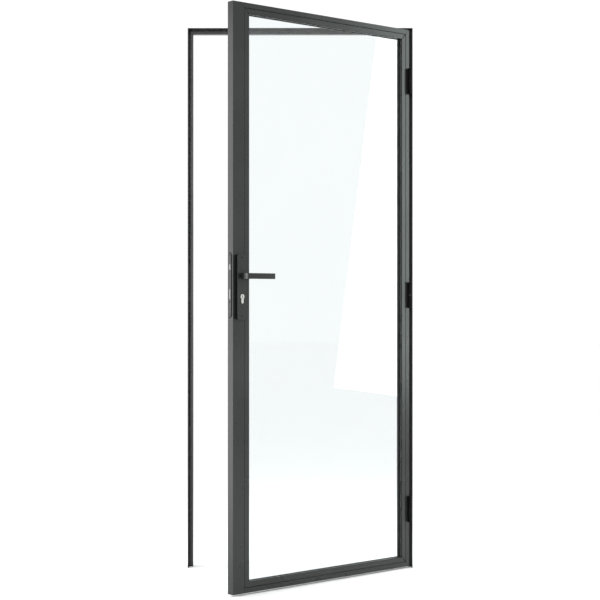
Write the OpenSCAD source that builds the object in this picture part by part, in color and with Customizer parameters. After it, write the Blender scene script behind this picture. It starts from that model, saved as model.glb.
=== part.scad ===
// Glazed metal door: a slim hollow leaf hung by three barrel hinges in a rebated three-sided frame,
// with a narrow-stile lock, a profile cylinder, and a lever handle and a turn knob on long plates.
// X runs across the doorway, Y runs away from the side the leaf opens to, Z is up from the floor.
// The origin is on the floor, midway between the jambs, at the front face of the frame.

/* [Frame] */
// Overall width over the jambs
frame_w = 875; // [760:1:1050]
// Overall height from the floor to the top of the head
frame_h = 2100; // [1900:1:2400]
// Thickness of the rim beside the leaf
rim_t = 3; // [2.5:0.5:5]
// Width of the frame section, rim and stop together
frame_face = 18.5; // [16:0.5:24]
// Depth of the hollow stop behind the leaf
stop_d = 26; // [22:1:60]
// Wall of the hollow stop
stop_wall = 2; // [1.5:0.25:2.5]

/* [Leaf] */
// Opening angle of the leaf as it stands
open_angle = 40; // [0:1:110]
// Thickness of the leaf
leaf_t = 30; // [30:1:40]
// Gap between the leaf and each jamb
edge_gap = 4; // [4:0.5:6]
// Gap between the leaf and the head
head_gap = 5; // [3:0.5:8]
// Gap between the leaf and the floor
floor_gap = 7; // [4:0.5:12]
// Face width of the lock stile beside its bead
lock_face = 50.5; // [49.5:0.5:70]
// Face width of the hinge stile and the rails beside their beads
slim_face = 18; // [16:0.5:40]
// Wall of the leaf's hollow profiles
leaf_wall = 2; // [1.5:0.25:2.5]

/* [Glazing] */
// Thickness of the glass
glass_t = 6; // [5:1:8]
// Face width of the glazing bead
bead_w = 22; // [16:0.5:28]
// Depth of the glazing bead
bead_d = 12; // [7:0.5:13]
// Gap between the edge of the glass and the rebate around it
glass_gap = 5; // [3:0.5:6]
// Width of the gasket strips against the glass
gasket_w = 8; // [5:0.5:10]

/* [Hinges] */
// Diameter of the hinge barrel
barrel_d = 15; // [14:0.5:16]
// Height of each hinge half
barrel_h = 50; // [40:1:60]
// Diameter of the hinge pin
pin_d = 8; // [6:0.5:8]
// Thickness of the hinge flags
flag_t = 2.5; // [2:0.25:2.5]
// Reach of the hinge flags behind the front face of the frame
flag_d = 24; // [20:1:27]
// Height of the lowest hinge's parting line
low_hinge_z = 230; // [150:1:300]
// Spacing of the lowest and the middle hinge
hinge_pitch = 831; // [700:1:900]
// Drop from the top of the frame to the highest hinge's parting line
top_hinge_drop = 208; // [150:1:300]

/* [Lock] */
// Height of the lever's axis above the floor
lever_z = 1126; // [950:1:1200]
// Drop from the lever's axis to the cylinder's axis
cylinder_drop = 72; // [72:1:92]
// Distance from the leaf's edge to the axes of lever and cylinder
backset = 30; // [30:0.5:31]
// Length of the forend
forend_h = 225; // [215:1:250]
// Width of the forend
forend_w = 16; // [15:0.5:18]
// Thickness of the forend
forend_t = 2.4; // [2:0.2:3]
// Height of the latch
latch_h = 19; // [14:1:20]
// Throw of the latch
latch_throw = 10; // [8:0.5:11]
// Height of the dead bolt
bolt_h = 34; // [30:1:36]
// Throw of the dead bolt
bolt_throw = 12; // [10:0.5:12]

/* [Handle] */
// Width of the handle plate
plate_w = 38; // [34:1:38]
// Height of the handle plate
plate_h = 228; // [220:1:250]
// Thickness of the front handle plate
plate_t = 14; // [10:0.5:15]
// Thickness of the back handle plate
back_plate_t = 6; // [5:0.5:11]
// Length of the lever from its axis to its tip
lever_l = 114; // [90:1:140]
// Height of the lever's flat bar
lever_h = 20; // [18:1:24]
// Reach of the lever from the plate to its outer face
neck_l = 46; // [38:1:60]
// Thickness of the lever's grip
grip_t = 10; // [8:0.5:13]
// Diameter of the turn knob on the back
knob_d = 22; // [20:0.5:28]
// Reach of the turn knob from the back plate
knob_l = 18; // [14:0.5:30]
// Side of the square spindle
spindle_w = 8; // [7:0.5:8]

/* [Hidden] */

// Round shapes are drawn with this many sides
$fn = 48;
// Overrun of every cut past the face that it opens
over = 1;

// Clearances
fit_gap = 0.2;
run_gap = 0.05;
slide_gap = 0.25;
lift_gap = 0.4;

// Frame section
seal_room = 2;
seal_h = 1.2;
seal_w = 6;
seal_foot_w = 2.4;
seal_foot_h = 2.6;
seal_set = 0.4;
stop_front = 4.5;
rebate_d = leaf_t + seal_room;
frame_d = rebate_d + stop_d;
jamb_x = frame_w / 2;
rim_x = jamb_x - rim_t;
cleat_leg = 60;
fixing_d = 6.5;
fixing_share = 0.5;
fixing_y = rebate_d * fixing_share;
fixing_off = 70;
fixing_mid_share = 0.42;

// Leaf
leaf_w = frame_w - 2 * (rim_t + edge_gap);
leaf_z = floor_gap;
leaf_top = frame_h - rim_t - head_gap;
leaf_h = leaf_top - leaf_z;
slim_w = slim_face + bead_w;
lock_w = lock_face + bead_w;
lock_extra = lock_w - slim_w;

// Glazing
bead_wall = 1.5;
bead_line_w = 1;
bead_line_d = 2;
gasket_t = 1.5;
gasket_lip = 1;
glass_y = bead_d + gasket_t;
flange_y = glass_y + glass_t + gasket_t;
flange_d = leaf_t - flange_y;
rebate_w = leaf_w - lock_face - slim_face;
rebate_h = leaf_h - 2 * slim_face;
block_l = 90;
block_side = 1.2;
block_share = 0.22;

// Hinges
barrel_off = 1;
axis_x = leaf_w / 2 - edge_gap;
axis_y = -(barrel_d / 2 + barrel_off);
hinge_zs = [low_hinge_z, low_hinge_z + hinge_pitch, frame_h - top_hinge_drop];
fixing_zs = [
    hinge_zs[0] - fixing_off,
    hinge_zs[1] - fixing_mid_share * (hinge_zs[1] - hinge_zs[0]),
    hinge_zs[1] + fixing_mid_share * (hinge_zs[2] - hinge_zs[1]),
    hinge_zs[2] + fixing_off
];
washer_t = 1;
pin_seat = 36;
pin_reach = 34;
pin_head_gap = 0.5;
barrel_cap = 1;
flag_screw_d = 5;
flag_screw_head = 8.4;
flag_screw_in = 12;
flag_screw_shares = [0.22, 0.78];
flag_screw_share = 0.5;

// Lock
forend_back = 2;
forend_y = leaf_t - forend_back - forend_w / 2;
tray_t = 1.2;
tray_w = 25;
tray_back = 1.5;
tray_end = 3;
tray_h = forend_h + 2 * tray_end;
tray_y = leaf_t - tray_back - tray_w / 2;
pocket_d = forend_t + tray_t;
lock_y = forend_y;
cylinder_z = lever_z - cylinder_drop;
case_wall = 1.5;
case_t = 15;
case_room = 2;
case_l = lock_face - leaf_wall - pocket_d - case_room;
case_end = pocket_d + case_l;
latch_w = 11;
latch_rise = 32;
latch_z = lever_z + latch_rise;
latch_left = 4;
latch_head = latch_throw + latch_left;
latch_bar = 6;
claw_w = 5;
bolt_w = 10;
bolt_rise = 8;
bolt_z = cylinder_z + bolt_rise;
bolt_left = 4;
bolt_head = bolt_throw + bolt_left;
bolt_tail = 7;
nose_cut = 1;
follower_r = 12;
follower_hub_r = 8.5;
lobe_r = 18;
lobe_w = 6;
lobe_turn = 45;
claw_drop = latch_rise + latch_h / 2 - latch_bar - norm([lobe_r, lobe_w / 2]) - lift_gap;
socket_gap = 0.1;
cyl_r = 8.5;
cyl_foot_w = 10;
cyl_h = 33;
cyl_proud = 2;
cyl_front = plate_t + cyl_proud;
cyl_l = leaf_t + plate_t + back_plate_t + 2 * cyl_proud;
plug_r = 6.5;
cam_r = 12.5;
cam_w = 9;
cam_gap = 0.5;
cam_hub_r = 8.3;
key_w = 2.4;
key_h = 8;
key_d = 22;
cyl_screw_d = 5;
cyl_screw_drop = 19.5;
case_margin = 9;
case_z = cylinder_z + cyl_r - cyl_h - 2 * case_margin;
case_h = latch_z + latch_h / 2 + case_margin - case_z;
lock_z = case_z + case_h / 2;
forend_screw_in = 8;
forend_screw_d = 4;
forend_screw_head = 7.6;
forend_screw_l = 14;

// Strike
strike_t = 2;
strike_w = 20;
strike_margin = 18;
strike_top = latch_z + latch_h / 2 + strike_margin;
strike_low = bolt_z - bolt_h / 2 - strike_margin;
strike_room = 1.5;
strike_screw_in = 9;
strike_screw_d = 4;
strike_screw_head = 7.6;

// Handle
plate_drop = 38.5;
plate_mid_z = lever_z - plate_drop;
plate_r = 4;
// The stop covers this much of the shut leaf's lock edge; the back plate keeps clear of it
stop_cover = frame_face - rim_t - edge_gap;
plate_room = 1.5;
back_plate_w = 2 * (backset - stop_cover - plate_room);
cap_t = 2;
plate_screw_d = 5;
plate_screw_head = 8.4;
plate_screw_in = 11;
plate_screw_zs = [plate_mid_z - plate_h / 2 + plate_screw_in, plate_mid_z + plate_h / 2 - plate_screw_in];
shank_r = 8;
neck_w = 20;
neck_flare = 5;
grip_r = 3;
spindle_end = 6;
knob_edge = 1.5;
socket_room = 1;

// Screw heads
head_share = 0.35;
hex_share = 0.5;
hex_depth_share = 0.8;

// Coats and materials as seen
coat = "#3f4443";
coat_dark = "#2c302f";
black = "#1b1c1c";
steel = "#b9bcbc";
rubber = "#151616";
alloy = "#8d9192";

// Placing

// Turns what hangs on the leaf open about the hinge axis; inside, X is measured from the lock edge.
module on_leaf() {
    translate([axis_x, axis_y, 0])
    rotate([0, 0, open_angle])
    translate([-axis_x - leaf_w / 2, -axis_y, 0])
    children();
}

// Prism through a depth in Y from an outline in X and Z.
module depth_prism(depth, points) {
    translate([0, depth + over, 0])
    rotate([90, 0, 0])
    linear_extrude(depth + 2 * over)
    polygon(points);
}

// Outline of an upright whose ends are mitred over a width w, after a plain strip of width e.
function mitred_side(w, h, e) = concat(
    [[e - over, -over], [e + w + over, w + over], [e + w + over, h - w - over], [e - over, h + over]],
    e > 0 ? [[-over, h + over], [-over, -over]] : []
);

// Outline of a top member, measured from its top left corner.
function mitred_top(w, l) = [
    [-over, over], [l + over, over], [l - w - over, -w - over], [w + over, -w - over]
];

// Upright of a section drawn in X (inwards) and Y (depth), both ends mitred.
module upright(h, w, depth, e = 0) {
    intersection() {
        linear_extrude(h) children();
        depth_prism(depth, mitred_side(w, h, e));
    }
}

// Top member of the same section, hung below its top edge; mirrored in Z it is a bottom member.
module cross_member(l, w, depth) {
    intersection() {
        rotate([0, 90, 0]) linear_extrude(l) children();
        depth_prism(depth, mitred_top(w, l));
    }
}

// Countersunk screw: head face at the origin, shank down in -Z.
module screw(d, head_d, l) {
    head_h = head_d * head_share;
    difference() {
        union() {
            translate([0, 0, -head_h]) cylinder(h = head_h, d1 = d, d2 = head_d);
            translate([0, 0, -l]) cylinder(h = l - head_h / 2, d = d);
        }
        translate([0, 0, -head_h * hex_depth_share])
        cylinder(h = head_h, d = d * hex_share * 2, $fn = 6);
    }
}

// Hole for the same screw, with clearance.
module screw_hole(d, head_d, l) {
    head_h = head_d * head_share;
    translate([0, 0, -head_h]) cylinder(h = head_h, d1 = d + 2 * fit_gap, d2 = head_d + 2 * fit_gap);
    translate([0, 0, -l - over]) cylinder(h = l + over, d = d + 2 * fit_gap);
    cylinder(h = over, d = head_d + 2 * fit_gap);
}

// Plate with round ends: width in X, length in Y, centred.
module round_ended(w, l) {
    square([w, l - w], center = true);
    for (s = [-1, 1]) translate([0, s * (l - w) / 2]) circle(d = w);
}

// Plate with rounded corners, centred.
module round_cornered(w, l, r) {
    square([w, l - 2 * r], center = true);
    square([w - 2 * r, l], center = true);
    for (sx = [-1, 1], sy = [-1, 1]) translate([sx * (w / 2 - r), sy * (l / 2 - r)]) circle(r);
}

// Profile of the lock cylinder, grown by a gap; its axis is the origin and Y is up.
module cylinder_outline(gap) {
    foot_y = cyl_h - cyl_r - cyl_foot_w / 2;
    circle(cyl_r + gap);
    translate([-cyl_foot_w / 2 - gap, -foot_y]) square([cyl_foot_w + 2 * gap, foot_y]);
    translate([0, -foot_y]) circle(cyl_foot_w / 2 + gap);
}

// Drawing in X and Z, extruded in +Y from y = 0.
module into_depth(depth) {
    translate([0, depth, 0]) rotate([90, 0, 0]) linear_extrude(depth) children();
}

// Drawing in Y and Z, extruded in +X from x = 0.
module into_width(w) {
    rotate([90, 0, 90]) linear_extrude(w) children();
}

// Frame

// Frame section: X inwards from the outer face, Y back from the front face.
module frame_section() {
    difference() {
        union() {
            square([rim_t, frame_d]);
            translate([0, rebate_d]) square([frame_face, stop_d]);
        }
        translate([rim_t, rebate_d + stop_front])
        square([frame_face - rim_t - stop_wall, stop_d - stop_front - stop_wall]);
        translate([rim_t + seal_set + (seal_w - seal_foot_w) / 2 - run_gap, rebate_d - over])
        square([seal_foot_w + 2 * run_gap, seal_foot_h + run_gap + over]);
    }
}

// Jamb: mitred at the head and square at the floor.
module jamb() {
    translate([0, 0, -frame_face])
    intersection() {
        upright(frame_h + frame_face, frame_face, frame_d) frame_section();
        translate([-over, -over, frame_face])
        cube([frame_face + 2 * over, frame_d + 2 * over, frame_h + over]);
    }
}

// Fixing holes through the rim into the wall, hidden behind the closed leaf.
module fixing_holes() {
    for (z = fixing_zs)
        translate([-over, fixing_y, z])
        rotate([0, 90, 0])
        cylinder(h = rim_t + 2 * over, d = fixing_d);
}

module lock_jamb() {
    color(coat)
    translate([-jamb_x, 0, 0])
    difference() {
        jamb();
        fixing_holes();
        strike_slots(rim_t);
        strike_screw_places() screw_hole(strike_screw_d, strike_screw_head, strike_t + rim_t);
    }
}

module hinge_jamb() {
    color(coat)
    difference() {
        translate([jamb_x, 0, 0]) mirror([1, 0, 0])
        difference() {
            jamb();
            fixing_holes();
        }
        frame_screw_places() screw_hole(flag_screw_d, flag_screw_head, flag_t + rim_t);
    }
}

module head() {
    color(coat)
    translate([-jamb_x, 0, frame_h])
    cross_member(frame_w, frame_face, frame_d) frame_section();
}

// Angle pieces that hold the mitres together inside the hollow stop.
module frame_corner_cleats() {
    inner = rim_t + fit_gap;
    reach = frame_face - stop_wall - fit_gap;
    depth = stop_d - stop_front - stop_wall - 2 * fit_gap;
    color(alloy)
    for (s = [0, 1]) mirror([s, 0, 0])
    translate([-jamb_x, rebate_d + stop_front + fit_gap, frame_h])
    into_depth(depth)
    polygon([
        [inner, -inner], [cleat_leg, -inner], [cleat_leg, -reach],
        [reach, -reach], [reach, -cleat_leg], [inner, -cleat_leg]
    ]);
}

// Seal section in the frame section's own axes.
module seal_section() {
    foot_x = rim_t + seal_set + (seal_w - seal_foot_w) / 2;
    crown = seal_h / 2;
    left = rim_t + seal_set;
    right = left + seal_w;
    translate([foot_x, rebate_d - crown]) square([seal_foot_w, seal_foot_h + crown]);
    polygon([
        [left, rebate_d], [left, rebate_d - crown], [left + crown, rebate_d - seal_h],
        [right - crown, rebate_d - seal_h], [right, rebate_d - crown], [right, rebate_d]
    ]);
}

module seal_upright() {
    translate([0, 0, -frame_face])
    intersection() {
        upright(frame_h + frame_face, frame_face, frame_d) seal_section();
        translate([-over, -over, frame_face])
        cube([frame_face + 2 * over, frame_d + 2 * over, frame_h + over]);
    }
}

module seal_lock() {
    color(rubber) translate([-jamb_x, 0, 0]) seal_upright();
}

module seal_hinge() {
    color(rubber) translate([jamb_x, 0, 0]) mirror([1, 0, 0]) seal_upright();
}

module seal_head() {
    color(rubber)
    translate([-jamb_x, 0, frame_h])
    cross_member(frame_w, frame_face, frame_d) seal_section();
}

// Strike

// Slots for latch and dead bolt, measured from the outer face of the jamb.
module strike_slots(t) {
    for (b = [[latch_z, latch_h, latch_w], [bolt_z, bolt_h, bolt_w]])
        translate([-over, lock_y - b[2] / 2 - strike_room, b[0] - b[1] / 2 - strike_room])
        cube([t + 2 * over, b[2] + 2 * strike_room, b[1] + 2 * strike_room]);
}

module strike_screw_places() {
    for (z = [strike_low + strike_screw_in, strike_top - strike_screw_in])
        translate([rim_t + strike_t, lock_y, z])
        rotate([0, 90, 0])
        children();
}

module strike_plate() {
    color(coat)
    translate([-jamb_x, 0, 0])
    difference() {
        translate([rim_t, lock_y, (strike_low + strike_top) / 2])
        into_width(strike_t)
        round_ended(strike_w, strike_top - strike_low);
        translate([rim_t, 0, 0]) strike_slots(strike_t);
        strike_screw_places() screw_hole(strike_screw_d, strike_screw_head, strike_t + rim_t);
    }
}

module strike_screws() {
    color(coat)
    translate([-jamb_x, 0, 0])
    strike_screw_places() screw(strike_screw_d, strike_screw_head, strike_t + rim_t);
}

// Hinges

// Screw places of the frame flags, heads facing the doorway.
module frame_screw_places() {
    for (z = hinge_zs, s = flag_screw_shares)
        translate([rim_x - flag_t, flag_d * flag_screw_share, z - barrel_h * s])
        rotate([0, -90, 0])
        children();
}

// Screw places of the leaf flags, heads facing the jamb.
module leaf_screw_places() {
    for (z = hinge_zs, s = flag_screw_shares)
        translate([leaf_w + flag_t, flag_d * flag_screw_share, z + barrel_h * s])
        rotate([0, 90, 0])
        children();
}

// Lower half, fixed to the jamb: barrel with a blind bore for the pin and a flag on the rim.
module hinge_frame_half(z) {
    height = barrel_h - washer_t;
    color(black)
    difference() {
        union() {
            translate([axis_x, axis_y, z - barrel_h]) cylinder(h = height, d = barrel_d);
            translate([rim_x - flag_t, axis_y, z - barrel_h]) cube([flag_t, flag_d - axis_y, height]);
        }
        translate([axis_x, axis_y, z - washer_t - pin_seat])
        cylinder(h = pin_seat + over, d = pin_d + 2 * run_gap);
        frame_screw_places() screw_hole(flag_screw_d, flag_screw_head, flag_t + rim_t);
    }
}

// Upper half, fixed to the leaf: it lifts off the pin.
module hinge_leaf_half(z) {
    axis_u = axis_x + leaf_w / 2;
    height = barrel_h - lift_gap;
    color(black)
    on_leaf()
    difference() {
        union() {
            translate([axis_u, axis_y, z + lift_gap]) cylinder(h = height - barrel_cap, d = barrel_d);
            translate([axis_u, axis_y, z + barrel_h - barrel_cap])
            cylinder(h = barrel_cap, d1 = barrel_d, d2 = barrel_d - 2 * barrel_cap);
            translate([leaf_w, axis_y, z + lift_gap]) cube([flag_t, flag_d - axis_y, height - barrel_cap]);
        }
        translate([axis_u, axis_y, z + lift_gap - over])
        cylinder(h = pin_reach + pin_head_gap + over, d = pin_d + 2 * run_gap);
        leaf_screw_places() screw_hole(flag_screw_d, flag_screw_head, flag_screw_in);
    }
}

module hinge_pin(z) {
    color(steel)
    translate([axis_x, axis_y, z - washer_t - pin_seat])
    cylinder(h = pin_seat + washer_t + pin_reach, d = pin_d);
}

module hinge_washer(z) {
    color("#b08d4a")
    translate([axis_x, axis_y, z - washer_t])
    difference() {
        cylinder(h = washer_t, d = barrel_d - 2 * run_gap);
        translate([0, 0, -over]) cylinder(h = washer_t + 2 * over, d = pin_d + 2 * run_gap);
    }
}

module hinge_frame_screws() {
    color(coat_dark) frame_screw_places() screw(flag_screw_d, flag_screw_head, flag_t + rim_t);
}

module hinge_leaf_screws() {
    color(coat_dark) on_leaf() leaf_screw_places() screw(flag_screw_d, flag_screw_head, flag_screw_in);
}

// Leaf

// Leaf section: a hollow box of the face width with a hollow flange behind the glass.
module leaf_section(face) {
    difference() {
        union() {
            square([face, leaf_t]);
            translate([0, flange_y]) square([face + bead_w, flange_d]);
        }
        translate([leaf_wall, leaf_wall]) square([face - 2 * leaf_wall, leaf_t - 2 * leaf_wall]);
        translate([face, flange_y + leaf_wall])
        square([bead_w - leaf_wall, flange_d - 2 * leaf_wall]);
    }
}

// Openings in the lock stile for the lock, the cylinder, the spindle and the plate screws.
module lock_stile_cuts() {
    translate([-over, tray_y, lock_z])
    into_width(pocket_d + over)
    round_ended(tray_w + 2 * fit_gap, tray_h + 2 * fit_gap);
    translate([0, lock_y - case_t / 2 - fit_gap, case_z - fit_gap])
    cube([case_end, case_t + 2 * fit_gap, case_h + 2 * fit_gap]);
    translate([backset, -over, cylinder_z]) into_depth(leaf_t + 2 * over) cylinder_outline(fit_gap);
    translate([backset, -over, lever_z]) into_depth(leaf_t + 2 * over) circle(follower_hub_r + fit_gap);
    for (z = plate_screw_zs)
        translate([backset, -over, z])
        into_depth(leaf_t + 2 * over)
        circle(d = plate_screw_d + 2 * fit_gap);
    forend_screw_places() screw_hole(forend_screw_d, forend_screw_head, forend_screw_l);
}

module lock_stile() {
    color(coat)
    on_leaf()
    difference() {
        translate([0, 0, leaf_z]) upright(leaf_h, slim_w, leaf_t, lock_extra) leaf_section(lock_face);
        lock_stile_cuts();
    }
}

module hinge_stile() {
    color(coat)
    on_leaf()
    difference() {
        translate([leaf_w, 0, leaf_z]) mirror([1, 0, 0])
        upright(leaf_h, slim_w, leaf_t) leaf_section(slim_face);
        leaf_screw_places() screw_hole(flag_screw_d, flag_screw_head, flag_screw_in);
    }
}

module top_rail() {
    color(coat)
    on_leaf()
    translate([lock_extra, 0, leaf_top])
    cross_member(leaf_w - lock_extra, slim_w, leaf_t) leaf_section(slim_face);
}

module bottom_rail() {
    color(coat)
    on_leaf()
    translate([lock_extra, 0, leaf_z])
    mirror([0, 0, 1])
    cross_member(leaf_w - lock_extra, slim_w, leaf_t) leaf_section(slim_face);
}

// Angle pieces inside the mitred corners of the leaf; face is the width of the upright's box.
module leaf_cleat(face, reach_x) {
    low = leaf_wall + fit_gap;
    polygon([
        [low, low], [reach_x, low], [reach_x, slim_face - low], [face - low, slim_face - low],
        [face - low, cleat_leg], [low, cleat_leg]
    ]);
}

module leaf_corner_cleats() {
    depth = leaf_t - 2 * (leaf_wall + fit_gap);
    color(alloy)
    on_leaf()
    translate([0, leaf_wall + fit_gap, leaf_z + leaf_h / 2])
    for (s = [0, 1]) mirror([0, 0, s])
    translate([0, 0, -leaf_h / 2]) {
        into_depth(depth) leaf_cleat(lock_face, lock_w + cleat_leg);
        translate([leaf_w, 0, 0]) mirror([1, 0, 0]) into_depth(depth) leaf_cleat(slim_face, cleat_leg);
    }
}

// Glazing

// Bead section with a shadow line where it meets the profile.
module bead_section() {
    difference() {
        square([bead_w, bead_d]);
        translate([-over, -over]) square([bead_line_w + over, bead_line_d + over]);
        translate([bead_wall, bead_wall + bead_line_d])
        square([bead_w - 2 * bead_wall, bead_d - 2 * bead_wall - bead_line_d]);
    }
}

// Places a strip along one side of the glazing rebate.
module rebate_side(side) {
    translate([lock_face, 0, leaf_z + slim_face])
    if (side == "lock") {
        upright(rebate_h, bead_w, leaf_t) children();
    } else if (side == "hinge") {
        translate([rebate_w, 0, 0]) mirror([1, 0, 0]) upright(rebate_h, bead_w, leaf_t) children();
    } else if (side == "top") {
        translate([0, 0, rebate_h]) cross_member(rebate_w, bead_w, leaf_t) children();
    } else {
        mirror([0, 0, 1]) cross_member(rebate_w, bead_w, leaf_t) children();
    }
}

module bead_lock() {
    color(coat) on_leaf() rebate_side("lock") bead_section();
}

module bead_hinge() {
    color(coat) on_leaf() rebate_side("hinge") bead_section();
}

module bead_top() {
    color(coat) on_leaf() rebate_side("top") bead_section();
}

module bead_bottom() {
    color(coat) on_leaf() rebate_side("bottom") bead_section();
}

// Gasket moulded as one ring against one face of the glass, its lip a little past the bead.
module gasket_ring(y) {
    inner = bead_w + gasket_lip;
    outer = inner - gasket_w;
    color(rubber)
    on_leaf()
    translate([lock_face, y, leaf_z + slim_face])
    into_depth(gasket_t)
    difference() {
        translate([outer, outer]) square([rebate_w - 2 * outer, rebate_h - 2 * outer]);
        translate([inner, inner]) square([rebate_w - 2 * inner, rebate_h - 2 * inner]);
    }
}

module gasket_front() {
    gasket_ring(bead_d);
}

module gasket_back() {
    gasket_ring(glass_y + glass_t);
}

module glass_pane() {
    color("#cfe0de", 0.35)
    on_leaf()
    translate([lock_face + glass_gap, glass_y, leaf_z + slim_face + glass_gap])
    cube([rebate_w - 2 * glass_gap, glass_t, rebate_h - 2 * glass_gap]);
}

// Blocks under the glass that carry it on the bottom rail.
module setting_blocks() {
    color(black)
    on_leaf()
    for (s = [block_share, 1 - block_share])
        translate([lock_face + rebate_w * s - block_l / 2, glass_y - block_side, leaf_z + slim_face])
        cube([block_l, glass_t + 2 * block_side, glass_gap]);
}

// Lock

module forend_screw_places() {
    for (s = [-1, 1])
        translate([0, forend_y, lock_z + s * (forend_h / 2 - forend_screw_in)])
        rotate([0, -90, 0])
        children();
}

// Slots for the latch and the dead bolt, through a plate from x = 0.
module bolt_slots(t) {
    for (b = [[latch_z, latch_h, latch_w], [bolt_z, bolt_h, bolt_w]])
        translate([-over, lock_y - b[2] / 2 - slide_gap, b[0] - b[1] / 2 - slide_gap])
        cube([t + 2 * over, b[2] + 2 * slide_gap, b[1] + 2 * slide_gap]);
}

// Hole for the screw that holds the cylinder.
module cylinder_screw_way(l) {
    translate([-over, lock_y, cylinder_z - cyl_screw_drop])
    rotate([0, 90, 0])
    cylinder(h = l + over, d = cyl_screw_d + 2 * fit_gap);
}

// Dark tray that lines the pocket around the forend.
module forend_tray() {
    color(black)
    on_leaf()
    difference() {
        translate([forend_t, tray_y, lock_z]) into_width(tray_t) round_ended(tray_w, tray_h);
        bolt_slots(pocket_d);
        forend_screw_places() screw_hole(forend_screw_d, forend_screw_head, forend_screw_l);
        cylinder_screw_way(pocket_d + over);
    }
}

module forend() {
    color(coat_dark)
    on_leaf()
    difference() {
        translate([0, forend_y, lock_z]) into_width(forend_t) round_ended(forend_w, forend_h);
        bolt_slots(forend_t);
        forend_screw_places() screw_hole(forend_screw_d, forend_screw_head, forend_screw_l);
        translate([0, lock_y, cylinder_z - cyl_screw_drop])
        rotate([0, -90, 0])
        screw_hole(cyl_screw_d, cyl_screw_d + forend_t, forend_t);
    }
}

module forend_screws() {
    color(coat)
    on_leaf()
    forend_screw_places() screw(forend_screw_d, forend_screw_head, forend_screw_l);
}

// Openings through both large walls of the lock case.
module case_openings() {
    translate([backset, lock_y - case_t / 2 - over, 0]) {
        translate([0, 0, cylinder_z]) into_depth(case_t + 2 * over) cylinder_outline(fit_gap);
        translate([0, 0, lever_z]) into_depth(case_t + 2 * over) circle(follower_hub_r + run_gap);
    }
}

// Open tray behind the forend; the cover closes its far side.
module lock_case() {
    color(steel)
    on_leaf()
    difference() {
        translate([pocket_d, lock_y - case_t / 2, case_z]) cube([case_l, case_t - case_wall, case_h]);
        translate([pocket_d + case_wall, lock_y - case_t / 2 + case_wall, case_z + case_wall])
        cube([case_l - 2 * case_wall, case_t, case_h - 2 * case_wall]);
        case_openings();
        bolt_slots(pocket_d + case_wall);
        cylinder_screw_way(pocket_d + case_wall + over);
    }
}

module lock_cover() {
    color(steel)
    on_leaf()
    difference() {
        translate([pocket_d, lock_y + case_t / 2 - case_wall, case_z]) cube([case_l, case_wall, case_h]);
        case_openings();
    }
}

// Nut that the spindle turns; its lobe sweeps just under the claw of the latch.
module follower() {
    inner_t = case_t - 2 * case_wall - 2 * slide_gap;
    color(alloy)
    on_leaf()
    translate([backset, lock_y, lever_z])
    difference() {
        union() {
            translate([0, -case_t / 2, 0]) into_depth(case_t) circle(follower_hub_r);
            translate([0, -inner_t / 2, 0]) into_depth(inner_t) {
                circle(follower_r);
                rotate([0, 0, lobe_turn])
                translate([-lobe_w / 2, 0])
                square([lobe_w, lobe_r]);
            }
        }
        translate([0, -case_t / 2 - over, 0])
        into_depth(case_t + 2 * over)
        square(spindle_w + 2 * socket_gap, center = true);
    }
}

// Latch, drawn in flush; it is pulled out by a magnet behind the strike.
module latch_bolt() {
    tail_z = latch_z + latch_h / 2 - latch_bar;
    claw_x = backset + lobe_w / 2 + slide_gap;
    color(steel)
    on_leaf() {
        translate([0, 0, latch_z - latch_h / 2])
        linear_extrude(latch_h)
        polygon([
            [0, lock_y - latch_w / 2 + nose_cut], [nose_cut, lock_y - latch_w / 2],
            [latch_head, lock_y - latch_w / 2], [latch_head, lock_y + latch_w / 2],
            [nose_cut, lock_y + latch_w / 2], [0, lock_y + latch_w / 2 - nose_cut]
        ]);
        translate([latch_head - over, lock_y - latch_bar / 2, tail_z])
        cube([claw_x + claw_w - latch_head + over, latch_bar, latch_bar]);
        translate([claw_x, lock_y - latch_bar / 2, latch_z + latch_h / 2 - latch_bar - claw_drop])
        cube([claw_w, latch_bar, latch_bar + claw_drop]);
    }
}

// Dead bolt, drawn in flush; its tail runs over the cylinder to the cam.
module dead_bolt() {
    tail_z = bolt_z + bolt_h / 2 - bolt_tail;
    color(steel)
    on_leaf() {
        translate([0, 0, bolt_z - bolt_h / 2])
        linear_extrude(bolt_h)
        polygon([
            [0, lock_y - bolt_w / 2 + nose_cut], [nose_cut, lock_y - bolt_w / 2],
            [bolt_head, lock_y - bolt_w / 2], [bolt_head, lock_y + bolt_w / 2],
            [nose_cut, lock_y + bolt_w / 2], [0, lock_y + bolt_w / 2 - nose_cut]
        ]);
        translate([bolt_head - over, lock_y - bolt_w / 2, tail_z])
        cube([case_end - 2 * case_wall - bolt_head + over, bolt_w, bolt_tail]);
    }
}

// Profile cylinder through leaf and plates, cut away in the middle for the cam.
module cylinder_body() {
    cam_room = cam_w + 2 * cam_gap;
    color(steel)
    on_leaf()
    difference() {
        translate([backset, -cyl_front, cylinder_z]) into_depth(cyl_l) cylinder_outline(0);
        translate([backset, -cyl_front - over, cylinder_z])
        into_depth(cyl_l + 2 * over)
        circle(plug_r + run_gap);
        translate([backset - cam_r, lock_y - cam_room / 2, cylinder_z - cam_r - cam_gap])
        cube([2 * cam_r, cam_room, cam_r + cam_gap + cyl_r + over]);
        cylinder_screw_way(backset + cyl_foot_w / 2);
    }
}

// Plug with a keyway in each end and the cam that throws the dead bolt.
module cylinder_plug() {
    color(alloy)
    on_leaf()
    difference() {
        union() {
            translate([backset, -cyl_front, cylinder_z]) into_depth(cyl_l) circle(plug_r);
            translate([backset, lock_y - cam_w / 2, cylinder_z])
            into_depth(cam_w) {
                circle(cam_hub_r);
                translate([-cam_w / 2, -cam_r + cam_gap]) square([cam_w, cam_r]);
            }
        }
        for (y = [-cyl_front - over, cyl_l - cyl_front - key_d])
            translate([backset - key_w / 2, y, cylinder_z - key_h / 2])
            cube([key_w, key_d + over, key_h]);
    }
}

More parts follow.
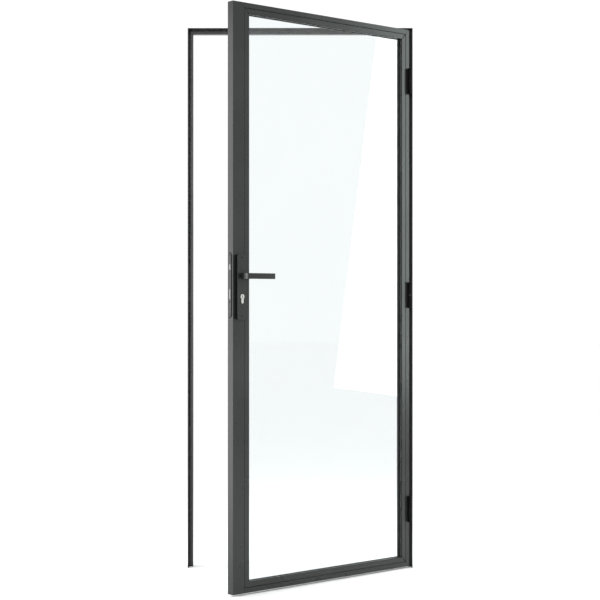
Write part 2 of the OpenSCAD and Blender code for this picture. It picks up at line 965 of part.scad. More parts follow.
module cylinder_screw() {
    color(coat)
    on_leaf()
    translate([0, lock_y, cylinder_z - cyl_screw_drop])
    rotate([0, -90, 0])
    screw(cyl_screw_d, cyl_screw_d + forend_t, backset);
}

// Handle

// Layer of a long handle plate, w wide and t thick, from y0 to y1; Y runs outwards from the leaf's face.
module plate_layer(y0, y1, t, w) {
    translate([backset, 0, 0])
    difference() {
        translate([0, y0, plate_mid_z]) into_depth(y1 - y0) round_cornered(w, plate_h, plate_r);
        translate([0, -over, cylinder_z]) into_depth(t + 2 * over) cylinder_outline(fit_gap);
        translate([0, -over, lever_z]) into_depth(t + 2 * over) circle(shank_r + run_gap);
        for (z = plate_screw_zs)
            translate([0, t, z])
            rotate([-90, 0, 0])
            screw_hole(plate_screw_d, plate_screw_head, t);
    }
}

// Dark base of the front plate; a coated cap covers it.
module plate_front() {
    color(black) on_leaf() mirror([0, 1, 0]) plate_layer(0, plate_t - cap_t, plate_t, plate_w);
}

module cap_front() {
    color(coat) on_leaf() mirror([0, 1, 0]) plate_layer(plate_t - cap_t, plate_t, plate_t, plate_w);
}

module plate_back() {
    color(black) on_leaf() translate([0, leaf_t, 0]) plate_layer(0, back_plate_t, back_plate_t, back_plate_w);
}

// Sleeved screws that draw the two plates together through the leaf.
module plate_screws() {
    color(coat_dark)
    on_leaf()
    for (z = plate_screw_zs)
        translate([backset, leaf_t / 2, z]) {
            translate([0, -leaf_t / 2 - plate_t, 0])
            rotate([90, 0, 0])
            screw(plate_screw_d, plate_screw_head, leaf_t / 2 + plate_t);
            translate([0, leaf_t / 2 + back_plate_t, 0])
            rotate([-90, 0, 0])
            screw(plate_screw_d, plate_screw_head, leaf_t / 2 + back_plate_t);
        }
}

// Flat bar lever: Y runs outwards from the leaf's face, the grip runs in +X.
// The side of the neck bows out by the flare, from the plate to the corner where the grip starts.
module lever() {
    outer = plate_t + neck_l;
    root = plate_t + lift_gap;
    corner = outer - grip_r;
    bow_r = ((corner - root) * (corner - root) + neck_flare * neck_flare) / (2 * neck_flare);
    difference() {
        union() {
            into_depth(root + over) circle(shank_r);
            translate([0, 0, -lever_h / 2])
            linear_extrude(lever_h) {
                intersection() {
                    translate([-neck_w / 2, root]) square([neck_w, corner - root]);
                    translate([bow_r - neck_w / 2, corner]) circle(bow_r);
                }
                translate([-neck_w / 2 + grip_r, outer - grip_t])
                square([lever_l + neck_w / 2 - 2 * grip_r, grip_t]);
                translate([lever_l - 2 * grip_r, outer - grip_t + grip_r])
                square([2 * grip_r, grip_t - 2 * grip_r]);
                for (y = [grip_r, grip_t - grip_r])
                    translate([lever_l - grip_r, outer - grip_t + y])
                    circle(grip_r);
                translate([-neck_w / 2 + grip_r, outer - grip_r]) circle(grip_r);
            }
        }
        translate([0, -over, 0])
        into_depth(plate_t + spindle_end + socket_room + over)
        square(spindle_w + 2 * socket_gap, center = true);
    }
}

module lever_front() {
    color(black) on_leaf() translate([backset, 0, lever_z]) mirror([0, 1, 0]) lever();
}

// Low turn knob on the other end of the spindle.
module knob_back() {
    color(black)
    on_leaf()
    translate([backset, leaf_t, lever_z])
    difference() {
        union() {
            into_depth(back_plate_t + lift_gap + over) circle(shank_r);
            translate([0, back_plate_t + lift_gap, 0])
            into_depth(knob_l - lift_gap - knob_edge)
            circle(d = knob_d);
            translate([0, back_plate_t + knob_l - knob_edge, 0])
            rotate([-90, 0, 0])
            cylinder(h = knob_edge, d1 = knob_d, d2 = knob_d - 2 * knob_edge);
        }
        translate([0, -over, 0])
        into_depth(back_plate_t + spindle_end + socket_room + over)
        square(spindle_w + 2 * socket_gap, center = true);
    }
}

module spindle() {
    color(steel)
    on_leaf()
    translate([backset, -plate_t - spindle_end, lever_z])
    into_depth(leaf_t + plate_t + back_plate_t + 2 * spindle_end)
    square(spindle_w, center = true);
}

lock_jamb();
hinge_jamb();
head();
frame_corner_cleats();
seal_lock();
seal_hinge();
seal_head();
strike_plate();
strike_screws();
hinge_frame_half(hinge_zs[0]);  // hinge_frame_half_bottom
hinge_frame_half(hinge_zs[1]);  // hinge_frame_half_middle
hinge_frame_half(hinge_zs[2]);  // hinge_frame_half_top
hinge_leaf_half(hinge_zs[0]);  // hinge_leaf_half_bottom
hinge_leaf_half(hinge_zs[1]);  // hinge_leaf_half_middle
hinge_leaf_half(hinge_zs[2]);  // hinge_leaf_half_top
hinge_pin(hinge_zs[0]);  // hinge_pin_bottom
hinge_pin(hinge_zs[1]);  // hinge_pin_middle
hinge_pin(hinge_zs[2]);  // hinge_pin_top
hinge_washer(hinge_zs[0]);  // hinge_washer_bottom
hinge_washer(hinge_zs[1]);  // hinge_washer_middle
hinge_washer(hinge_zs[2]);  // hinge_washer_top
hinge_frame_screws();
hinge_leaf_screws();
lock_stile();
hinge_stile();
top_rail();
bottom_rail();
leaf_corner_cleats();
bead_lock();
bead_hinge();
bead_top();
bead_bottom();
gasket_front();
gasket_back();
glass_pane();
setting_blocks();
forend_tray();
forend();
forend_screws();
lock_case();
lock_cover();
follower();
latch_bolt();
dead_bolt();
cylinder_body();
cylinder_plug();
cylinder_screw();
plate_front();
cap_front();
plate_back();
plate_screws();
lever_front();
knob_back();
spindle();
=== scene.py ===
"""Looks of a slim metal-framed glass door that stands ajar in its rebated frame."""

import logging
import math
from dataclasses import dataclass
from enum import Enum
from functools import cache

import bmesh
import bpy
import numpy as np
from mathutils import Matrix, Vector


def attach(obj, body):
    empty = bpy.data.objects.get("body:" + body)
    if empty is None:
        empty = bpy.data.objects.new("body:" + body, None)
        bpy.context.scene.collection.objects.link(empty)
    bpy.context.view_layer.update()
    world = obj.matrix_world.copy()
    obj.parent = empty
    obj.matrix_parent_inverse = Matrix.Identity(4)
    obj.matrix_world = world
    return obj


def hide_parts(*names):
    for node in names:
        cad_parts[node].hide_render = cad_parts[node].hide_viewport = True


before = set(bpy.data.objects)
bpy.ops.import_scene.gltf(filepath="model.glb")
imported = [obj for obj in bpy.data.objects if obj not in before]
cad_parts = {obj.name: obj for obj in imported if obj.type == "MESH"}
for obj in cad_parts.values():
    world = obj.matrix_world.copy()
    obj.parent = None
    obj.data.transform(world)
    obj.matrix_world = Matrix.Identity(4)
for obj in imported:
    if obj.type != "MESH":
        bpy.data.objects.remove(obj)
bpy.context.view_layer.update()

Triple = tuple[float, float, float]
Socket = bpy.types.NodeSocket

MM = 0.001
WHITE: Triple = (1.0, 1.0, 1.0)

# The CAD's loose triangles: corners nearer than this are one corner, and faces that turn by less
# are one plane.
MERGE_GAP = 0.001 * MM
PLANE_TURN = math.radians(0.4)

# A turn between two faces is shaded smooth when it lies between these two, and sharp above.
FLAT_TURN = math.radians(0.5)
SHARP_TURN = math.radians(30)

# Two edges run alongside when the cosine between them is above this.
PARALLEL = 0.98

# Flat steps across a rounding.
BEVEL_STEPS = 2

# The leaf stands open by this angle, and its front looks this way.
LEAF_OPEN = math.radians(40)
LEAF_FRONT = Vector((math.sin(LEAF_OPEN), -math.cos(LEAF_OPEN), 0.0))

# The narrow groove in a bead's front, and the material place of the painted shade in it.
GROOVE_DEPTH = 2.0 * MM
GROOVE_SLACK = 0.2 * MM
SHADE_PAINT_PLACE = 1

# A noise spends most of its area between these two values.
NOISE_LOW = 0.3
NOISE_HIGH = 0.7

log = logging.getLogger("glass_door")


class Body(Enum):
    """The rigid bodies that eased pieces ride on."""

    FRAME = "frame"
    LEAF = "leaf"
    HANDLE = "handle"


class Slot(Enum):
    """Names of the record's material slots, passed along with the eased pieces."""

    COAT = "coat"
    HINGE_BLACK = "hinge_black"
    HANDLE_BLACK = "handle_black"


class Grain(Enum):
    """The way a metal was brushed, as cells per metre of its noise along X, Y and Z."""

    UPRIGHT = (900.0, 900.0, 14.0)
    EVEN = (420.0, 420.0, 420.0)


def scale_colour(colour: Triple, share: float) -> Triple:
    """Darkens or lightens a colour.

    Args:
        colour: red, green and blue.
        share: the factor for each.

    Returns:
        The colour times the factor, each channel at most 1.
    """
    return tuple(min(1.0, channel * share) for channel in colour)


class Shader:
    """A material under construction, with short calls for the nodes that the finishes share."""

    def __init__(self, name: str) -> None:
        """Starts an empty material with one Principled shader and an output.

        Args:
            name: the material's name.
        """
        self.material = bpy.data.materials.new(name)
        self.material.use_nodes = True
        self.nodes = self.material.node_tree.nodes
        self.links = self.material.node_tree.links
        self.nodes.clear()
        self.surface = self.nodes.new("ShaderNodeBsdfPrincipled")
        output = self.nodes.new("ShaderNodeOutputMaterial")
        self.links.new(self.surface.outputs["BSDF"], output.inputs["Surface"])
        self.places = self.nodes.new("ShaderNodeTexCoord").outputs["Object"]

    def set(self, **values: float) -> "Shader":
        """Sets sockets of the Principled shader by name, with underscores for spaces.

        Args:
            **values: socket name to its number.

        Returns:
            This shader, for chaining.
        """
        for key, value in values.items():
            self.surface.inputs[key.replace("_", " ")].default_value = value
        return self

    def join(self, **sockets: Socket) -> "Shader":
        """Links sockets into the Principled shader by name, with underscores for spaces.

        Args:
            **sockets: input name to the socket that feeds it.

        Returns:
            This shader, for chaining.
        """
        for key, socket in sockets.items():
            self.links.new(socket, self.surface.inputs[key.replace("_", " ")])
        return self

    def noise(self, scale: float, detail: float, stretch: Triple | None = None) -> Socket:
        """Adds a noise over the piece's own coordinates.

        Args:
            scale: cells per metre.
            detail: octaves of the noise.
            stretch: further factors for X, Y and Z, or None.

        Returns:
            The noise's value socket.
        """
        node = self.nodes.new("ShaderNodeTexNoise")
        node.inputs["Scale"].default_value = scale
        node.inputs["Detail"].default_value = detail
        places = self.places
        if stretch is not None:
            mapping = self.nodes.new("ShaderNodeMapping")
            mapping.inputs["Scale"].default_value = stretch
            self.links.new(places, mapping.inputs["Vector"])
            places = mapping.outputs["Vector"]
        self.links.new(places, node.inputs["Vector"])
        return node.outputs["Fac"]

    def span(self, value: Socket, middle: float, swing: float) -> Socket:
        """Maps the middle of a noise's range to a span of numbers.

        Args:
            value: the noise.
            middle: the middle of the span.
            swing: how far the span reaches to either side.

        Returns:
            The mapped socket.
        """
        node = self.nodes.new("ShaderNodeMapRange")
        node.inputs["From Min"].default_value = NOISE_LOW
        node.inputs["From Max"].default_value = NOISE_HIGH
        node.inputs["To Min"].default_value = middle - swing
        node.inputs["To Max"].default_value = middle + swing
        self.links.new(value, node.inputs["Value"])
        return node.outputs["Result"]

    def tones(self, value: Socket, dark: Triple, light: Triple) -> Socket:
        """Turns the middle of a noise's range into a blend of two tones.

        Args:
            value: the noise.
            dark: colour at its low end.
            light: colour at its high end.

        Returns:
            The colour socket.
        """
        ramp = self.nodes.new("ShaderNodeValToRGB")
        low, high = ramp.color_ramp.elements
        low.position, low.color = NOISE_LOW, (*dark, 1.0)
        high.position, high.color = NOISE_HIGH, (*light, 1.0)
        self.links.new(value, ramp.inputs["Fac"])
        return ramp.outputs["Color"]

    def bump(self, height: Socket, strength: float, depth: float) -> "Shader":
        """Raises the surface by a noise.

        Args:
            height: the noise.
            strength: how much of it shows.
            depth: its height in metres.

        Returns:
            This shader, for chaining.
        """
        node = self.nodes.new("ShaderNodeBump")
        node.inputs["Strength"].default_value = strength
        node.inputs["Distance"].default_value = depth
        self.links.new(height, node.inputs["Height"])
        return self.join(Normal=node.outputs["Normal"])


@dataclass(frozen=True)
class Finish:
    """The look of a surface, under its material's name."""

    name: str

    def material(self) -> bpy.types.Material:
        """Makes the finish's material."""
        raise NotImplementedError


@dataclass(frozen=True)
class PowderCoat(Finish):
    """A baked powder coat: a satin colour with a fine orange-peel skin and faint cloudiness."""

    colour: Triple
    roughness: float = 0.28
    gloss_swing: float = 0.03
    sheen: float = 0.33
    index: float = 1.5
    spread: float = 0.12
    cloud_scale: float = 5.0
    cloud_detail: float = 4.0
    peel_scale: float = 1100.0
    peel_detail: float = 2.0
    peel_strength: float = 0.35
    peel_depth: float = 0.06 * MM

    def material(self) -> bpy.types.Material:
        """Makes the coat's material."""
        shader = Shader(self.name)
        clouds = shader.noise(self.cloud_scale, self.cloud_detail)
        peel = shader.noise(self.peel_scale, self.peel_detail)
        dark = scale_colour(self.colour, 1 - self.spread)
        light = scale_colour(self.colour, 1 + self.spread)
        shader.set(Metallic=0.0, IOR=self.index, Specular_IOR_Level=self.sheen)
        shader.join(
            Base_Color=shader.tones(clouds, dark, light),
            Roughness=shader.span(clouds, self.roughness, self.gloss_swing),
        )
        return shader.bump(peel, self.peel_strength, self.peel_depth).material


@dataclass(frozen=True)
class BrushedMetal(Finish):
    """A drawn or brushed metal: streaks along one axis in tone, gloss and relief."""

    colour: Triple
    roughness: float = 0.32
    gloss_swing: float = 0.06
    grain: Grain = Grain.UPRIGHT
    spread: float = 0.1
    streak_detail: float = 3.0
    streak_strength: float = 0.2
    streak_depth: float = 0.03 * MM

    def material(self) -> bpy.types.Material:
        """Makes the metal's material."""
        shader = Shader(self.name)
        streaks = shader.noise(1.0, self.streak_detail, self.grain.value)
        dark = scale_colour(self.colour, 1 - self.spread)
        light = scale_colour(self.colour, 1 + self.spread)
        shader.set(Metallic=1.0)
        shader.join(
            Base_Color=shader.tones(streaks, dark, light),
            Roughness=shader.span(streaks, self.roughness, self.gloss_swing),
        )
        return shader.bump(streaks, self.streak_strength, self.streak_depth).material


@dataclass(frozen=True)
class Rubber(Finish):
    """A black extruded rubber or plastic with a dull, finely pitted skin."""

    colour: Triple
    roughness: float = 0.7
    gloss_swing: float = 0.08
    sheen: float = 0.25
    index: float = 1.45
    dark_share: float = 0.8
    light_share: float = 1.25
    pit_scale: float = 1600.0
    pit_detail: float = 3.0
    pit_strength: float = 0.3
    pit_depth: float = 0.05 * MM

    def material(self) -> bpy.types.Material:
        """Makes the rubber's material."""
        shader = Shader(self.name)
        pits = shader.noise(self.pit_scale, self.pit_detail)
        dark = scale_colour(self.colour, self.dark_share)
        light = scale_colour(self.colour, self.light_share)
        shader.set(IOR=self.index, Specular_IOR_Level=self.sheen)
        shader.join(
            Base_Color=shader.tones(pits, dark, light),
            Roughness=shader.span(pits, self.roughness, self.gloss_swing),
        )
        return shader.bump(pits, self.pit_strength, self.pit_depth).material


@dataclass(frozen=True)
class FloatGlass(Finish):
    """Clear float glass with a faint cool tint that wavers very slightly."""

    tint: Triple
    roughness: float = 0.01
    index: float = 1.5
    wave_scale: float = 2.2
    wave_detail: float = 1.0
    pale_share: float = 1.01

    def material(self) -> bpy.types.Material:
        """Makes the glass's material."""
        shader = Shader(self.name)
        waves = shader.noise(self.wave_scale, self.wave_detail)
        pale = scale_colour(self.tint, self.pale_share)
        shader.set(Transmission_Weight=1.0, IOR=self.index, Roughness=self.roughness)
        return shader.join(Base_Color=shader.tones(waves, self.tint, pale)).material


@dataclass(frozen=True)
class FloorPaint(Finish):
    """A matt pale paint with the faintest mottle."""

    tone: Triple
    roughness: float = 0.75
    mottle_scale: float = 1.5
    mottle_detail: float = 2.0
    dark_share: float = 0.985

    def material(self) -> bpy.types.Material:
        """Makes the paint's material."""
        shader = Shader(self.name).set(Roughness=self.roughness)
        mottle = shader.noise(self.mottle_scale, self.mottle_detail)
        dark = scale_colour(self.tone, self.dark_share)
        return shader.join(Base_Color=shader.tones(mottle, dark, self.tone)).material


COAT = PowderCoat("anthracite_coat", (0.0145, 0.0165, 0.0150))
HINGE_BLACK = PowderCoat("black_hinge_coat", (0.004, 0.004, 0.004), roughness=0.35, sheen=0.04)
HANDLE_BLACK = PowderCoat(
    "black_handle_coat", (0.011, 0.0115, 0.011), roughness=0.2, sheen=0.42, peel_scale=1500.0
)
PLATE_BLACK = PowderCoat(
    "plate_black", (0.004, 0.004, 0.004), roughness=0.5, sheen=0.08, peel_scale=1500.0
)
FOREND_GREY = PowderCoat("forend_grey", (0.026, 0.027, 0.026), roughness=0.36)
TRAY_GREY = PowderCoat("tray_grey", (0.014, 0.0145, 0.014), roughness=0.45, sheen=0.3)
STEEL = BrushedMetal("bright_steel", (0.55, 0.56, 0.56))
BOLT_STEEL = BrushedMetal("bolt_face", (0.19, 0.195, 0.19), roughness=0.5)
NICKEL = BrushedMetal(
    "nickel_plate", (0.54, 0.54, 0.51), roughness=0.22, grain=Grain.EVEN, spread=0.04
)
BRONZE = BrushedMetal("washer_bronze", (0.022, 0.018, 0.012), roughness=0.45, grain=Grain.EVEN)
ALLOY = BrushedMetal("cleat_alloy", (0.5, 0.51, 0.52), roughness=0.45, grain=Grain.EVEN)
RUBBER = Rubber("gasket_rubber", (0.009, 0.0095, 0.009))
SEAL_GREY = Rubber("seal_rubber", (0.035, 0.036, 0.035))
# Painted shade: near-black paint for bead roundings and grooves, standing in for the shade in the
# seam.
PAINTED_SEAM_SHADE = Rubber("painted_seam_shade", (0.004, 0.004, 0.004), sheen=0.05)
PLASTIC = Rubber("moulded_black", (0.012, 0.012, 0.012), roughness=0.5, pit_scale=900.0)
GLASS = FloatGlass("float_glass", (0.88, 0.925, 0.922))
FLOOR_PAINT = FloorPaint("pale_floor", (0.985, 0.985, 0.985))


@cache
def material_of(finish: Finish) -> bpy.types.Material:
    """Gives a finish's material, which is made once.

    Args:
        finish: the finish.

    Returns:
        Its material.
    """
    return finish.material()


def put_on(obj: bpy.types.Object, finish: Finish) -> None:
    """Gives an object one finish in all its material places.

    Args:
        obj: the object.
        finish: its finish.
    """
    materials = obj.data.materials
    if not materials:
        materials.append(material_of(finish))
    for place in range(len(materials)):
        materials[place] = material_of(finish)


def add_to_scene(name: str, data: bpy.types.ID) -> bpy.types.Object:
    """Makes an object at the origin and puts it in the scene.

    Args:
        name: the object's name.
        data: its mesh, light or camera.

    Returns:
        The object.
    """
    obj = bpy.data.objects.new(name, data)
    bpy.context.scene.collection.objects.link(obj)
    return obj


def grid_mesh(name: str, points: np.ndarray) -> bpy.types.Mesh:
    """Makes a mesh of quads from a grid of points, each joined to its next neighbours.

    Args:
        name: the mesh's name.
        points: array of shape (rows, columns, 3).

    Returns:
        The mesh.
    """
    rows, columns, _ = points.shape
    corner = (np.arange(rows - 1)[:, None] * columns + np.arange(columns - 1)[None, :]).ravel()
    quads = np.stack([corner, corner + 1, corner + columns + 1, corner + columns], axis=1)
    mesh = bpy.data.meshes.new(name)
    mesh.from_pydata(points.reshape(-1, 3).tolist(), [], quads.tolist())
    mesh.update()
    return mesh


@dataclass(frozen=True)
class Easing:
    """The rounding of a piece's long sharp edges, in millimetres.

    Edges shorter than a limit stay sharp, so holes keep their exact form. A narrow lip or wall gets
    a rounding of at most a share of its width. A painted-shade finish, where there is one, paints
    the roundings and the narrow groove of a bead near-black, standing in for the shade in the seam.
    """

    width_mm: float
    shortest_mm: float
    share: float = 0.3
    seam: Finish | None = None


def whole_faces(mesh: bpy.types.Mesh) -> bmesh.types.BMesh:
    """Opens a CAD mesh with its coincident corners merged and its plane triangles joined.

    Args:
        mesh: a copy of a CAD node's mesh.

    Returns:
        The merged mesh, for editing.
    """
    work = bmesh.new()
    work.from_mesh(mesh)
    bmesh.ops.remove_doubles(work, verts=work.verts, dist=MERGE_GAP)
    bmesh.ops.dissolve_limit(work, angle_limit=PLANE_TURN, verts=work.verts, edges=work.edges)
    return work


def bevel_room(edge: bmesh.types.BMEdge) -> float:
    """Measures how wide the faces beside an edge are.

    It is the least distance from the edge's line to another edge that runs alongside it in either
    face.

    Args:
        edge: the edge.

    Returns:
        The distance in metres, or infinity where nothing runs alongside.
    """
    start = edge.verts[0].co
    run = (edge.verts[1].co - start).normalized()
    room = math.inf
    for face in edge.link_faces:
        for other in face.edges:
            if other == edge:
                continue
            across = other.verts[0].co - start
            along = (other.verts[1].co - other.verts[0].co).normalized().dot(run)
            if abs(along) > PARALLEL:
                room = min(room, (across - run * across.dot(run)).length)
    return room


def weigh_edges(work: bmesh.types.BMesh, edges: Easing) -> None:
    """Marks sharp edges, and weighs the long ones for the bevel.

    An edge's weight is the share of the full rounding that the faces beside it have room for.

    Args:
        work: the piece's mesh.
        edges: the rounding.
    """
    weights = work.edges.layers.float.new("bevel_weight_edge")
    for edge in work.edges:
        if len(edge.link_faces) != 2:
            continue
        edge.smooth = edge.calc_face_angle(0.0) < SHARP_TURN
        if not edge.smooth and edge.calc_length() > edges.shortest_mm * MM:
            fill = edges.share * bevel_room(edge) / (edges.width_mm * MM)
            edge[weights] = min(1.0, fill)


def shade_faces(work: bmesh.types.BMesh) -> None:
    """Shades a face smooth where it meets a neighbour at a slight turn; plane faces stay flat.

    Args:
        work: the piece's mesh.
    """
    for face in work.faces:
        turns = [edge.calc_face_angle(0.0) for edge in face.edges if len(edge.link_faces) == 2]
        face.smooth = any(FLAT_TURN < turn < SHARP_TURN for turn in turns)


def front_reach(mesh: bpy.types.Mesh) -> float:
    """Measures how far a mesh reaches towards the leaf's front.

    It is the greatest of the points' dot products with the direction that the front looks in.

    Args:
        mesh: the mesh.

    Returns:
        The reach in metres.
    """
    points = np.empty(3 * len(mesh.vertices), dtype=np.float32)
    mesh.vertices.foreach_get("co", points)
    return float((points.reshape(-1, 3) @ np.array(LEAF_FRONT)).max())


def paint_groove_shade(work: bmesh.types.BMesh, front: float) -> None:
    """Gives the faces of the narrow groove along a bead the material place of the painted shade.

    A face belongs to the groove when its middle lies behind the bead's front by no more than the
    groove's depth.

    Args:
        work: the bead's mesh.
        front: how far the bead reaches towards the leaf's front.
    """
    for face in work.faces:
        behind = front - face.calc_center_median().dot(LEAF_FRONT)
        if GROOVE_SLACK < behind < GROOVE_DEPTH + GROOVE_SLACK:
            face.material_index = SHADE_PAINT_PLACE


def eased_copy(node: str, finish: Finish, edges: Easing) -> bpy.types.Object:
    """Makes a merged copy of a CAD node whose long sharp edges are rounded over.

    Args:
        node: the node's name.
        finish: the copy's finish.
        edges: the rounding.

    Returns:
        The copy, with a live bevel on its weighed edges.
    """
    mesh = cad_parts[node].data.copy()
    mesh.name = f"{node}_eased"
    work = whole_faces(mesh)
    weigh_edges(work, edges)
    shade_faces(work)
    if edges.seam is not None:
        paint_groove_shade(work, front_reach(mesh))
    work.to_mesh(mesh)
    work.free()
    obj = add_to_scene(f"{node}_eased", mesh)
    put_on(obj, finish)
    bevel = obj.modifiers.new("ease", "BEVEL")
    bevel.limit_method = "WEIGHT"
    bevel.width = edges.width_mm * MM
    bevel.segments = BEVEL_STEPS
    bevel.use_clamp_overlap = False
    bevel.harden_normals = True
    # The painted-shade finish goes on the bevel's faces as painted shade in the seam.
    if edges.seam is not None:
        mesh.materials.append(material_of(edges.seam))
        bevel.material = SHADE_PAINT_PLACE
    return obj


@dataclass
class SubAssembly:
    """Some of the part's CAD nodes: a few are replaced by eased copies, the rest are dressed."""

    def ease(self, finish: Finish, slot: Slot, body: Body, edges: Easing, *nodes: str) -> None:
        """Replaces CAD nodes by copies whose long sharp edges are rounded over.

        Args:
            finish: the copies' finish.
            slot: the record's material slot; not used.
            body: the body that the nodes belong to.
            edges: the rounding.
            *nodes: the nodes' names.
        """
        for node in nodes:
            obj = eased_copy(node, finish, edges)
            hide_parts(node)
            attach(obj, body.value)
            log.info("%s eased by %.1f mm in %s", node, edges.width_mm, finish.name)

    def wear(self, finish: Finish, *nodes: str) -> None:
        """Puts a finish straight on CAD nodes.

        Args:
            finish: the finish.
            *nodes: the nodes' names.
        """
        for node in nodes:
            put_on(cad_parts[node], finish)
            log.info("%s wears %s", node, finish.name)

    def build(self) -> None:
        """Makes the eased copies; there are none where the CAD's own meshes stay."""

    def dress(self) -> None:
        """Dresses the CAD's own meshes."""
        raise NotImplementedError


@dataclass
class DoorFrame(SubAssembly):
    """The two jambs and the head, their seals, cleats and strike."""

    edges: Easing = Easing(width_mm=1.2, shortest_mm=12.0)

    def build(self) -> None:
        """Eases the jambs and the head."""
        self.ease(COAT, Slot.COAT, Body.FRAME, self.edges, "lock_jamb", "hinge_jamb", "head")

    def dress(self) -> None:
        """Dresses what is set into the jambs and the head."""
        self.wear(SEAL_GREY, "seal_lock", "seal_hinge", "seal_head")
        self.wear(ALLOY, "frame_corner_cleats")
        self.wear(COAT, "strike_plate", "strike_screws")


@dataclass
class Leaf(SubAssembly):
    """The leaf's hollow profiles and glazing beads."""

    edges: Easing = Easing(width_mm=0.7, shortest_mm=16.0)
    # These bead roundings and grooves get the near-black painted shade.
    shade_painted_bead_edges: Easing = Easing(width_mm=1.2, shortest_mm=16.0, share=0.6, seam=PAINTED_SEAM_SHADE)

    def build(self) -> None:
        """Eases the profiles, and the beads with painted shade in their groove and on their
        roundings.
        """
        plain = ("lock_stile", "hinge_stile", "top_rail", "bottom_rail", "bead_lock")
        shade_painted_beads = ("bead_hinge", "bead_top", "bead_bottom")
        self.ease(COAT, Slot.COAT, Body.LEAF, self.edges, *plain)
        self.ease(COAT, Slot.COAT, Body.LEAF, self.shade_painted_bead_edges, *shade_painted_beads)

    def dress(self) -> None:
        """Dresses the cleats in the leaf's corners."""
        self.wear(ALLOY, "leaf_corner_cleats")


@dataclass
class Glazing(SubAssembly):
    """The glass pane with its gaskets and setting blocks."""

    def dress(self) -> None:
        """Dresses the glazing."""
        self.wear(GLASS, "glass_pane")
        self.wear(RUBBER, "gasket_front", "gasket_back")
        self.wear(PLASTIC, "setting_blocks")


@dataclass
class Hinges(SubAssembly):
    """Three lift-off barrel hinges."""

    places: tuple[str, ...] = ("bottom", "middle", "top")
    edges: Easing = Easing(width_mm=0.4, shortest_mm=6.0)

    def each(self, piece: str) -> list[str]:
        """Names one piece of every hinge."""
        return [f"{piece}_{place}" for place in self.places]

    def build(self) -> None:
        """Eases the hinges' halves on the frame and on the leaf."""
        black = (HINGE_BLACK, Slot.HINGE_BLACK)
        halves = zip(self.each("hinge_frame_half"), self.each("hinge_leaf_half"))
        for on_frame, on_leaf in halves:
            self.ease(*black, Body.FRAME, self.edges, on_frame)
            self.ease(*black, Body.LEAF, self.edges, on_leaf)

    def dress(self) -> None:
        """Dresses the pins, washers and screws."""
        self.wear(STEEL, *self.each("hinge_pin"))
        self.wear(BRONZE, *self.each("hinge_washer"))
        self.wear(HINGE_BLACK, "hinge_frame_screws", "hinge_leaf_screws")


@dataclass
class Lock(SubAssembly):
    """The mortice lock: forend, case, latch, dead bolt and cylinder."""

    def dress(self) -> None:
        """Dresses the lock."""
        self.wear(TRAY_GREY, "forend_tray")
        self.wear(FOREND_GREY, "forend", "forend_screws", "cylinder_screw")
        self.wear(STEEL, "lock_case", "lock_cover")
        self.wear(ALLOY, "follower")
        self.wear(BOLT_STEEL, "latch_bolt", "dead_bolt")
        self.wear(NICKEL, "cylinder_body", "cylinder_plug")


@dataclass
class Handle(SubAssembly):
    """The lever on its long plate, and the knob and plate behind the leaf."""

    edges: Easing = Easing(width_mm=0.8, shortest_mm=8.0)

    def build(self) -> None:
        """Eases the lever and the front plate's cap."""
        self.ease(HANDLE_BLACK, Slot.HANDLE_BLACK, Body.HANDLE, self.edges, "lever_front")
        self.ease(COAT, Slot.COAT, Body.LEAF, self.edges, "cap_front")

    def dress(self) -> None:
        """Dresses the plates, the knob, the spindle and the screws."""
        self.wear(PLATE_BLACK, "plate_front", "plate_back")
        self.wear(HANDLE_BLACK, "knob_back")
        self.wear(COAT, "plate_screws")
        self.wear(STEEL, "spindle")


@dataclass(frozen=True)
class Card:
    """A soft rectangle of light, in metres, degrees and watts; unturned it shines down."""

    name: str
    place: Triple
    size: tuple[float, float]
    power: float
    turn_deg: Triple = (0.0, 0.0, 0.0)
    tint: Triple = WHITE

    def hang(self) -> None:
        """Hangs the card out of the camera's sight, tilted about X and Y and spun in its plane."""
        light = bpy.data.lights.new(self.name, "AREA")
        light.shape = "RECTANGLE"
        light.size, light.size_y = self.size
        light.energy = self.power
        light.color = self.tint
        obj = add_to_scene(self.name, light)
        obj.location = self.place
        obj.rotation_mode = "ZYX"
        obj.rotation_euler = tuple(math.radians(turn) for turn in self.turn_deg)
        obj.visible_camera = False


# The lock edge mirrors the left card, the frame's front mirrors the front card, and the hinge side
# and the glass mirror the right card, whose slanted edge draws the bright band on the pane. The
# floor cards keep the floor pale beside the door.
CARDS = (
    Card(
        "left_card",
        place=(-2.6, -0.4, 1.2),
        size=(2.6, 1.2),
        power=32.0,
        turn_deg=(0.0, -90.0, 0.0),
    ),
    Card(
        "right_card",
        place=(2.5, -0.137, 1.884),
        size=(2.72, 0.58),
        power=29.0,
        turn_deg=(0.0, 90.0, -7.0),
        tint=(0.88, 1.0, 0.98),
    ),
    Card(
        "front_card",
        place=(-1.4, -6.6, 1.6),
        size=(2.2, 3.6),
        power=100.0,
        turn_deg=(90.0, 0.0, 0.0),
    ),
    Card("left_floor_card", place=(-1.6, -0.5, 0.9), size=(2.0, 1.6), power=13.0),
    Card("right_floor_card", place=(1.8, -0.15, 0.9), size=(2.0, 1.6), power=19.0),
)


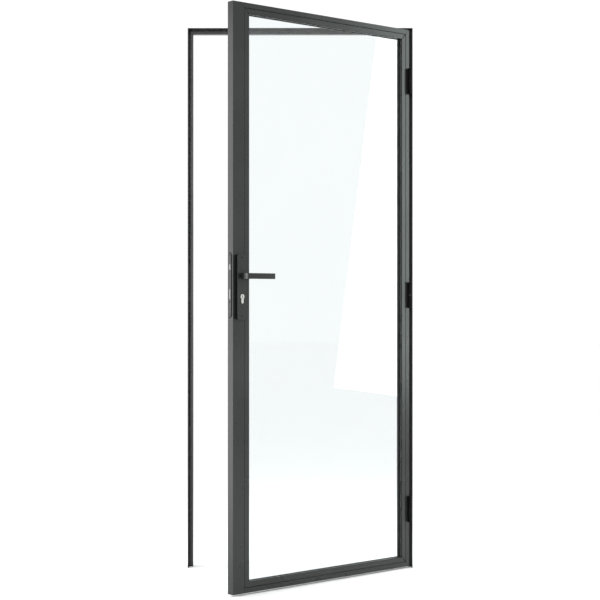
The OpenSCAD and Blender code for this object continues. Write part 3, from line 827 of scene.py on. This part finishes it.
@dataclass
class Studio:
    """A pale floor, a white sky, soft cards of light about the door, and the camera.

    Lengths are in metres, apart from the camera's own in millimetres and pixels.
    """

    floor_half: float = 30.0
    floor_points: int = 5
    floor_drop: float = 0.5 * MM
    sky: float = 1.04
    cards: tuple[Card, ...] = CARDS
    eye_side: float = -0.0006
    eye_height: float = 1.042
    eye_distance: float = 5.562
    far_clip: float = 200.0
    focal_px: float = 1430.0
    image_px: float = 600.0
    sensor_mm: float = 36.0

    def camera(self) -> None:
        """Stands the camera square to the frame, level, at the height of the horizon."""
        data = bpy.data.cameras.new("eye")
        data.sensor_width = self.sensor_mm
        data.lens = self.focal_px / self.image_px * self.sensor_mm
        data.clip_end = self.far_clip
        obj = add_to_scene("eye", data)
        obj.location = (self.eye_side, -self.eye_distance, self.eye_height)
        obj.rotation_euler = (math.pi / 2, 0.0, 0.0)
        bpy.context.scene.camera = obj

    def floor(self) -> None:
        """Lays the floor: a flat grid, x and y running evenly from edge to edge at one height."""
        span = np.linspace(-self.floor_half, self.floor_half, self.floor_points)
        y, x = np.meshgrid(span, span, indexing="ij")
        points = np.stack([x, y, np.full_like(x, -self.floor_drop)], axis=2)
        obj = add_to_scene("floor", grid_mesh("floor", points))
        put_on(obj, FLOOR_PAINT)

    def light(self) -> None:
        """Sets the even white sky, hangs the cards and takes a plain view of the colours."""
        world = bpy.data.worlds.new("studio")
        world.use_nodes = True
        background = world.node_tree.nodes["Background"]
        background.inputs["Color"].default_value = (*WHITE, 1.0)
        background.inputs["Strength"].default_value = self.sky
        bpy.context.scene.world = world
        for card in self.cards:
            card.hang()
        bpy.context.scene.view_settings.view_transform = "Standard"

    def build(self) -> None:
        """Sets up camera, floor and light."""
        self.camera()
        self.floor()
        self.light()


def main() -> None:
    """Builds the studio, then builds and dresses each sub-assembly in turn."""
    logging.basicConfig(level=logging.INFO, format="%(name)s: %(message)s")
    Studio().build()
    for assembly in (DoorFrame(), Leaf(), Glazing(), Hinges(), Lock(), Handle()):
        assembly.build()
        assembly.dress()
        log.info("%s done", type(assembly).__name__)


if __name__ == "__main__":
    main()
